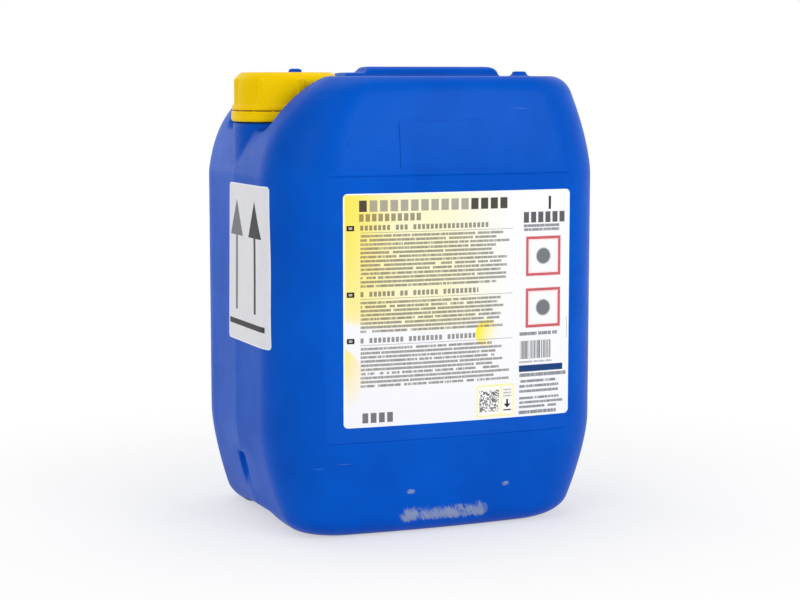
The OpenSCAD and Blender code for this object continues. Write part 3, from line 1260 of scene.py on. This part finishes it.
@dataclass(frozen=True)
class MainPrint:
    """The main label's print: fields of colour, rows of dashes and plain shapes."""

    paper: Colour = (242, 242, 246)
    edge: Colour = (236, 248, 253)
    yellow: Colour = (255, 226, 58)
    cream: Colour = (246, 240, 196)
    dark: Colour = (52, 48, 40)
    navy: Colour = (24, 62, 118)
    red: Colour = (196, 84, 90)
    blush: Colour = (250, 222, 224)

    def material(self) -> bpy.types.Material:
        """Build the material."""
        art = Printed("main_print", 0.42, 0.03)
        shader, u, v = art.shader, art.u, art.v
        art.colour = self.paper
        sag = (u - 70) * (u - 70) / 552 + 60
        tint = (v - sag).rise(-3, 10) * (1 - u.rise(60, 130))
        art.ink(tint * 0.9, self.cream)
        glow = (v - sag).rise(-2, 5) * (1 - u.rise(1, 46)) * (v.rise(40, 150) * 0.6 + 0.4)
        art.ink(glow * 0.9, self.yellow)
        low_ball = self.ball(art, -9, 32, 22.5)
        art.ink(low_ball * v.rise(2, 50) * 0.75 * (1 - u.rise(0, 14) * 0.6), self.yellow)
        disc = self.ball(art, 101.9, 58.3, 9.0)
        art.ink(disc * (1 - (u - v * 0.35).rise(72, 92)), (255, 232, 52))
        self.heads(art)
        self.column(art)
        self.box_of_cells(art)
        inner = art.box(0.9, 163.1, 0.9, 152.1)
        art.ink(1 - inner, self.edge)
        return art.finish(0.25)

    def ball(self, art: Printed, u: float, v: float, radius: float) -> Value:
        """Give a soft disc's mask."""
        du, dv = art.u - u, art.v - v
        away = (du * du + dv * dv).math("SQRT")
        return 1 - away.rise(radius - 0.8, radius + 0.8)

    def heads(self, art: Printed) -> None:
        """Print the title tiles, the headings with their tags and rules, and the blocks of small print."""
        u, v = art.u, art.v
        tiles = (u - 10.8) / 7.15
        tile = tiles.floor()
        solid = tiles.fraction().under(0.74)
        title = art.box(10.8, 117.6, 141.2, 148.6) * solid
        ends = tile.under(0.5) + tile.over(10.5)
        art.ink(title * 0.86, (150, 148, 138))
        art.ink(title * ends * 0.9, self.dark)
        second = art.box(10.8, 54.4, 134.9, 139.8) * ((u - 10.8) / 4.4).fraction().under(0.7)
        art.ink(second * 0.75, (96, 92, 66))
        for top, right in ((132.4, 102.0), (89.2, 95.0), (58.9, 92.8)):
            tag = art.box(2.3, 7.5, top - 3.5, top)
            hole = art.box(3.7, 6.1, top - 2.5, top - 1.0)
            art.ink(tag, (38, 34, 30))
            art.ink(hole * 0.8, (200, 198, 190))
            heading = art.box(11.6, right, top - 3.3, top) * ((u - 11.6) / 3.05).fraction().under(0.68)
            gaps = art.shader.chance(art.shader.joined(((u - 11.6) / 3.05).floor(), top)).over(0.12)
            art.ink(heading * gaps * 0.78, (98, 94, 84))
            art.ink(art.box(11.6, 120.5, top - 5.0, top - 4.6) * 0.7, (120, 118, 110))
        small = art.words(11.6, 118.5, 92.0, 126.6, 2.72, 1.65, 14)
        small = small.larger(art.words(11.6, 118.5, 62.4, 83.6, 2.68, 1.65, 14))
        small = small.larger(art.words(11.6, 118.5, 26.4, 53.2, 2.72, 1.65, 14))
        art.ink(small * 0.82, (118, 115, 102))
        weight = art.box(12.8, 34.6, 2.8, 9.4) * ((u - 12.8) / 5.7).fraction().under(0.70)
        art.ink(weight * 0.85, (66, 66, 70))

    def column(self, art: Printed) -> None:
        """Print the right column: a line of tiles, two framed squares, a bar block and lines."""
        u, v = art.u, art.v
        art.ink(art.box(147.6, 149.4, 139.8, 148.6), (50, 50, 54))
        bold = art.box(128.6, 161.2, 131.0, 138.2) * ((u - 128.6) / 5.5).fraction().under(0.72)
        art.ink(bold * 0.9, (40, 40, 44))
        for middle in (108.4, 73.5):
            outer = art.box(130.2, 157.4, middle - 13.6, middle + 13.6)
            inner = art.box(132.4, 155.2, middle - 11.4, middle + 11.4)
            art.ink(outer * 0.35, self.red)
            art.ink(art.box(130.6, 157.0, middle - 13.2, middle + 13.2) * 0.95, self.red)
            art.ink(inner, self.blush)
            art.ink(art.box(133.4, 154.2, middle - 10.4, middle + 10.4), self.paper)
            art.ink(self.ball(art, 143.8, middle, 5.4) * 0.9, (88, 92, 98))
        lines = art.words(128.6, 156.0, 125.4, 130.4, 2.6, 1.9)
        lines = lines.larger(art.words(125.8, 155.0, 55.0, 57.6, 2.6, 2.3))
        lines = lines.larger(art.words(126.0, 162.0, 26.9, 29.6, 2.8, 2.4))
        lines = lines.larger(art.words(126.0, 158.0, 16.2, 25.8, 3.4, 1.8, 16))
        lines = lines.larger(art.words(126.0, 163.0, 5.6, 14.2, 3.0, 1.7, 10))
        lines = lines.larger(art.words(125.6, 154.5, 1.6, 4.4, 2.8, 2.3))
        lines = lines.larger(art.box(162.0, 162.7, 52.0, 66.4) * 0.5)
        art.ink(lines * 0.78, (78, 82, 92))
        bars = art.shader.noise(art.shader.joined(u * 1.15, 3.0), 1.0, 2, 0.8).over(0.49)
        art.ink(art.box(126.2, 149.9, 39.1, 51.4) * bars * 0.85, (70, 70, 76))
        art.ink(art.words(125.6, 151.0, 36.4, 38.2, 2.0, 1.3) * 0.6, (110, 110, 116))
        art.ink(art.box(125.6, 159.4, 30.4, 34.8), self.navy)

    def box_of_cells(self, art: Printed) -> None:
        """Print the pale framed box with its square of cells and its small arrow."""
        u, v = art.u, art.v
        frame_mask = art.box(93.7, 121.8, 1.4, 23.2)
        art.ink(frame_mask, (251, 240, 176))
        art.ink(art.box(95.0, 111.6, 2.8, 21.8), (250, 250, 246))
        art.ink(art.box(113.0, 120.6, 2.8, 21.8), (250, 250, 246))
        cells = art.shader.chance(art.shader.joined((u / 0.72).floor(), (v / 0.72).floor(), 5.0)).over(0.47)
        art.ink(art.box(96.0, 110.6, 4.9, 19.5) * cells * 0.85, (58, 58, 66))
        art.ink(art.box(116.1, 117.5, 9.4, 12.8), (34, 34, 40))
        head = ((v - 6.9) * 0.95).over((u - 116.8).math("ABSOLUTE")) * art.box(113.8, 119.8, 6.9, 9.6)
        art.ink(head, (34, 34, 40))
        art.ink(art.box(113.9, 119.7, 5.0, 5.9), (60, 60, 66))
        art.ink(art.words(113.8, 120.0, 14.4, 20.2, 2.1, 1.2) * 0.6, (110, 110, 100))


@dataclass(frozen=True)
class ArrowPrint:
    """The small label's print: two arrows that point up, over a bar."""

    paper: Colour = (232, 232, 236)
    edge: Colour = (240, 247, 253)
    ink: Colour = (50, 52, 54)

    def material(self) -> bpy.types.Material:
        """Build the material."""
        art = Printed("arrow_print", 0.48, 0.04)
        u, v = art.u, art.v
        art.colour = self.paper
        art.ink(art.shader.noise(art.shader.point(), 60, 3).rise(0.45, 0.75) * 0.25, (214, 214, 220))
        for middle, shade in ((16.5, 0.8), (54.5, 1.0)):
            away = (u - middle).math("ABSOLUTE")
            head = ((96.4 - v) * (13.1 / 24.6)).over(away) * v.over(71.8)
            shaft = away.under(2.0) * v.near(46.6, 25.4)
            art.ink(head.larger(shaft) * shade, self.ink)
        art.ink(art.box(1.8, 71.6, 10.6, 14.4), self.ink)
        art.ink(1 - art.box(0.8, 77.6, 0.8, 106.2), self.edge)
        return art.finish(0.4)


@dataclass(frozen=True)
class Foam:
    """Pressed liner foam with fine pores."""

    main: Colour = (236, 236, 230)

    def material(self) -> bpy.types.Material:
        """Build the material."""
        shader = Shader("pressed_foam", {"IOR": 1.4})
        point = shader.point()
        pores = shader.noise(point, 900, 3)
        shader.paint(shader.mix(pores.rise(0.4, 0.6), self.main, (214, 214, 208)), pores * 0.1 + 0.6)
        shader.bump(pores, 0.3, 0.0003)
        return shader.material


@dataclass(frozen=True)
class Studio:
    """The pale floor, the soft lamps and the camera."""

    lens: float = 89.06
    eye: Triple = (-0.5299, -1.2840, 0.3038)
    target: Triple = (0.0016, -0.00066, 0.14735)
    sky: float = 0.45

    def build(self) -> None:
        """Build the stage."""
        self.floor()
        self.world()
        self.lamp("front_box", (0.62, -1.40, 0.66), (0, -0.09, 0.22), (1.0, 0.5), 9.6)
        self.lamp("left_box", (-1.5, -1.1, 1.1), (0, 0, 0.16), (1.2, 1.0), 8)
        self.lamp("end_box", (-0.8, 1.4, 0.7), (-0.1, 0, 0.16), (1.0, 1.0), 4)
        self.lamp("top_box", (0.1, 0.4, 1.9), (0, 0, 0.2), (1.4, 1.4), 10.5)
        self.camera()
        bpy.context.scene.view_settings.view_transform = "Standard"

    def lamp(self, name: str, place: Triple, aim: Triple, size: tuple[float, float], power: float) -> None:
        """Hang a soft lamp.

        Args:
            name: Its name.
            place: Where it hangs.
            aim: The point that it faces.
            size: Its width and height.
            power: Its power in watts.
        """
        data = bpy.data.lights.new(name, "AREA")
        data.shape = "RECTANGLE"
        data.size, data.size_y = size
        data.energy = power
        lamp = bpy.data.objects.new(name, data)
        lamp.location = place
        lamp.rotation_mode = "QUATERNION"
        lamp.rotation_quaternion = (Vector(aim) - Vector(place)).to_track_quat("-Z", "Y")
        bpy.context.scene.collection.objects.link(lamp)

    def world(self) -> None:
        """Make the world light softly and be plain white behind the object."""
        world = bpy.data.worlds.new("studio")
        bpy.context.scene.world = world
        world.use_nodes = True
        world.node_tree.nodes.clear()
        nodes = Nodes(world.node_tree)
        strength = nodes.seen() * (1 - self.sky) + self.sky
        light = nodes.node("ShaderNodeBackground", {}, {"Color": (1, 1, 1, 1), "Strength": strength})
        nodes.node("ShaderNodeOutputWorld", {}, {0: Value(nodes, light.outputs[0])})

    def floor(self) -> None:
        """Lay the floor, which fades into the white world far from the object."""
        shape = bmesh.new()
        bmesh.ops.create_grid(shape, x_segments=8, y_segments=8, size=6.0)
        mesh = bpy.data.meshes.new("floor")
        shape.to_mesh(mesh)
        shape.free()
        floor = bpy.data.objects.new("floor", mesh)
        bpy.context.scene.collection.objects.link(floor)
        shader = Shader("pale_floor", {"Roughness": 0.9, "Specular IOR Level": 0.1})
        shader.surface.inputs["Base Color"].default_value = (0.99, 0.99, 0.99, 1)
        x, y, _ = shader.parts(shader.point())
        far = ((x * x + y * y).math("SQRT").rise(0.14, 0.5) * 0.45 + 0.55) * shader.seen()
        glow = shader.node("ShaderNodeEmission", {}, {"Color": (1, 1, 1, 1), "Strength": 1.0})
        lit, white = (Value(shader, node.outputs[0]) for node in (shader.surface, glow))
        blend = shader.node("ShaderNodeMixShader", {}, {0: far, 1: lit, 2: white})
        out = next(n for n in shader.tree.nodes if n.type == "OUTPUT_MATERIAL")
        shader.feed(out, "Surface", Value(shader, blend.outputs[0]))
        mesh.materials.append(shader.material)
        mesh.transform(Matrix.Translation((0, 0, -0.0003)))

    def camera(self) -> None:
        """Set the camera at the photograph's viewing angle."""
        data = bpy.data.cameras.new("camera")
        data.lens = self.lens
        data.sensor_width = 36.0
        data.clip_start = 0.05
        data.clip_end = 50.0
        camera = bpy.data.objects.new("camera", data)
        camera.location = self.eye
        camera.rotation_mode = "QUATERNION"
        camera.rotation_quaternion = (Vector(self.target) - Vector(self.eye)).to_track_quat("-Z", "Y")
        bpy.context.scene.collection.objects.link(camera)
        bpy.context.scene.camera = camera


def main() -> None:
    """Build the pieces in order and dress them."""
    logging.basicConfig(level=logging.INFO, format="%(name)s: %(message)s")
    blue = MouldedPlastic("blue_polyethylene", (0, 87, 199), (0, 80, 188), 0.36, 0.5, 1.0, scuffed=True)
    body_finish = blue.material()
    yellow = MouldedPlastic("yellow_polyethylene", (255, 216, 4), (248, 205, 0), 0.36, 0.3, 0.5).material()
    tree = CanBody().build(body_finish)
    Cap().build(yellow)
    Ring().build(yellow)
    Liner().build(Foam().material())
    Label("front_label", 164, 153, 3, on_panel).build(tree, MainPrint().material(), Slot.FILM, "main_label")
    Label("end_label", 78.4, 107, 3, on_end).build(tree, ArrowPrint().material(), Slot.PAPER, "arrow_label")
    Studio().build()
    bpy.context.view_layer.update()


if __name__ == "__main__":
    main()
